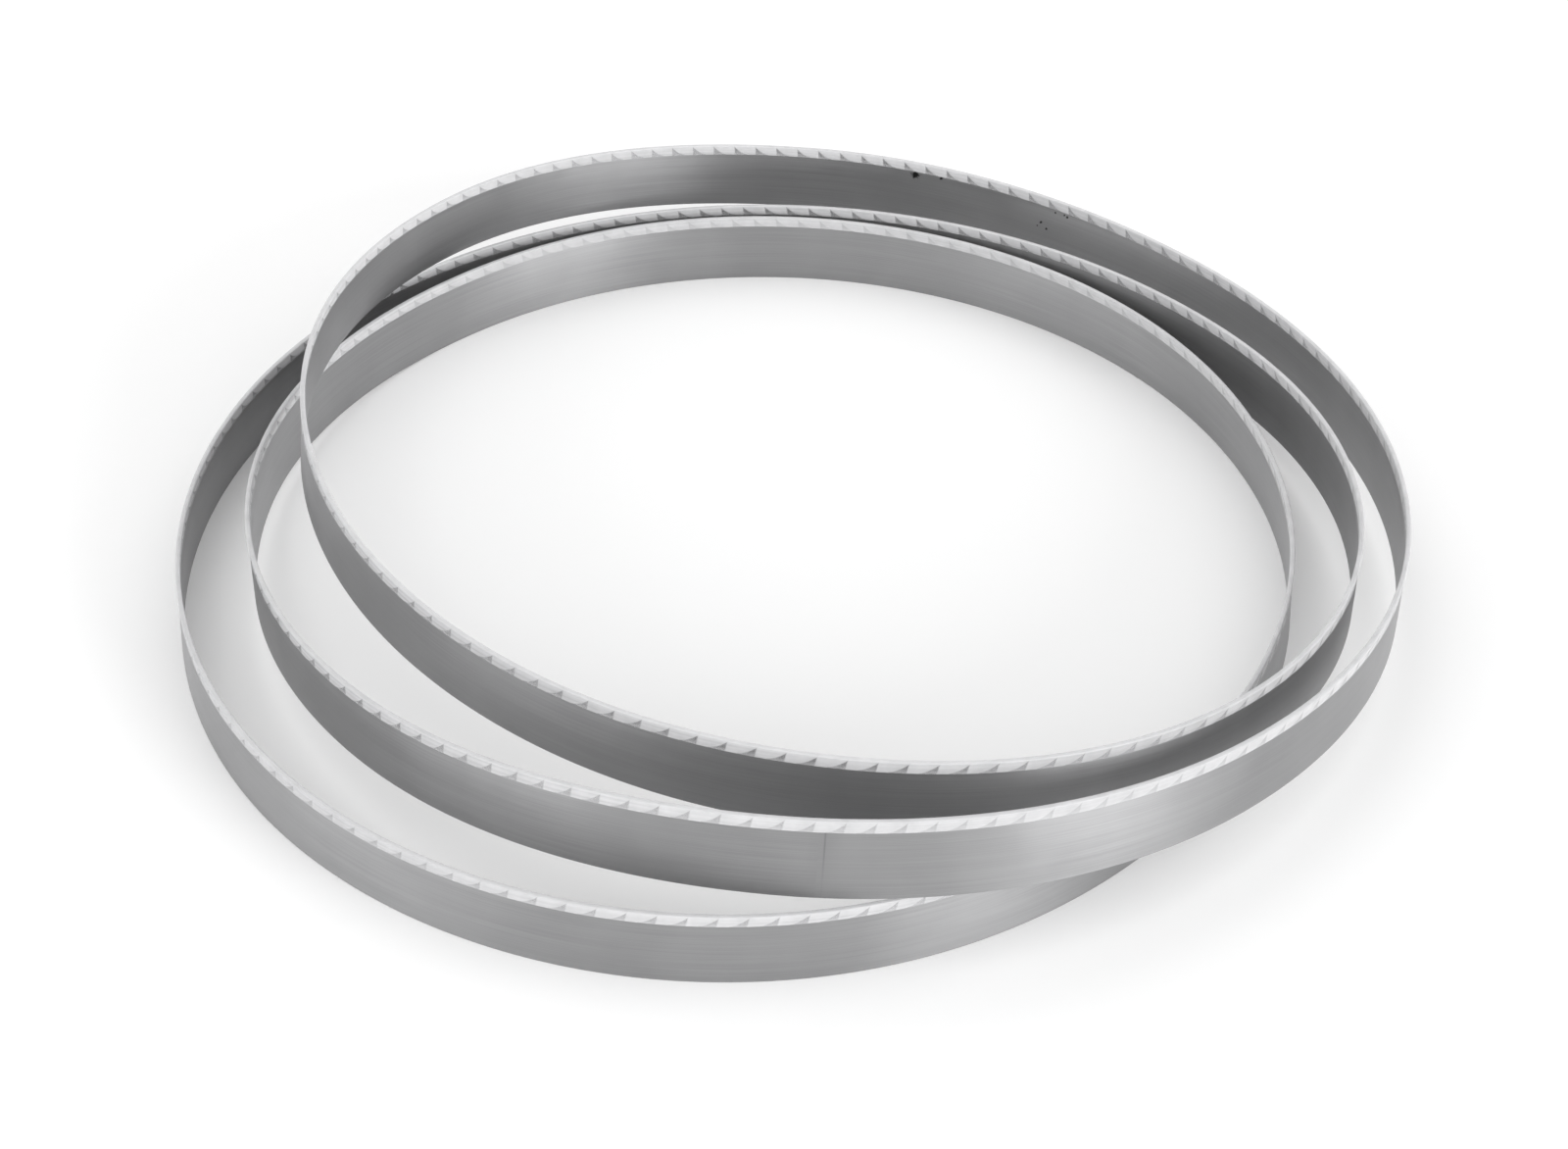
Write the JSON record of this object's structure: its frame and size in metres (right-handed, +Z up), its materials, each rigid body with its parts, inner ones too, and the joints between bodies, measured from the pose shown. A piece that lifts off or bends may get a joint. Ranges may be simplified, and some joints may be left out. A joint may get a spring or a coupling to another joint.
{
  "type": "band saw blade",
  "caption": "Closed toothed steel band for a band saw, folded into a flat coil of loops that lies on its back edge, with a clear plastic strip over the teeth.",
  "frame": {"origin": "on the floor, under the middle of the coil's box", "axes": "+Z up, the way the teeth point; -Y is the coil's front, where its loops fan out"},
  "size_m": [0.3022, 0.2992, 0.0452],
  "materials": {
    "blade_steel": "satin",
    "guard_plastic": "translucent, milky"
  },
  "bodies": {
    "root": {"blade": "blade_steel", "tooth_guard": "guard_plastic"}
  },
  "joints": []
}
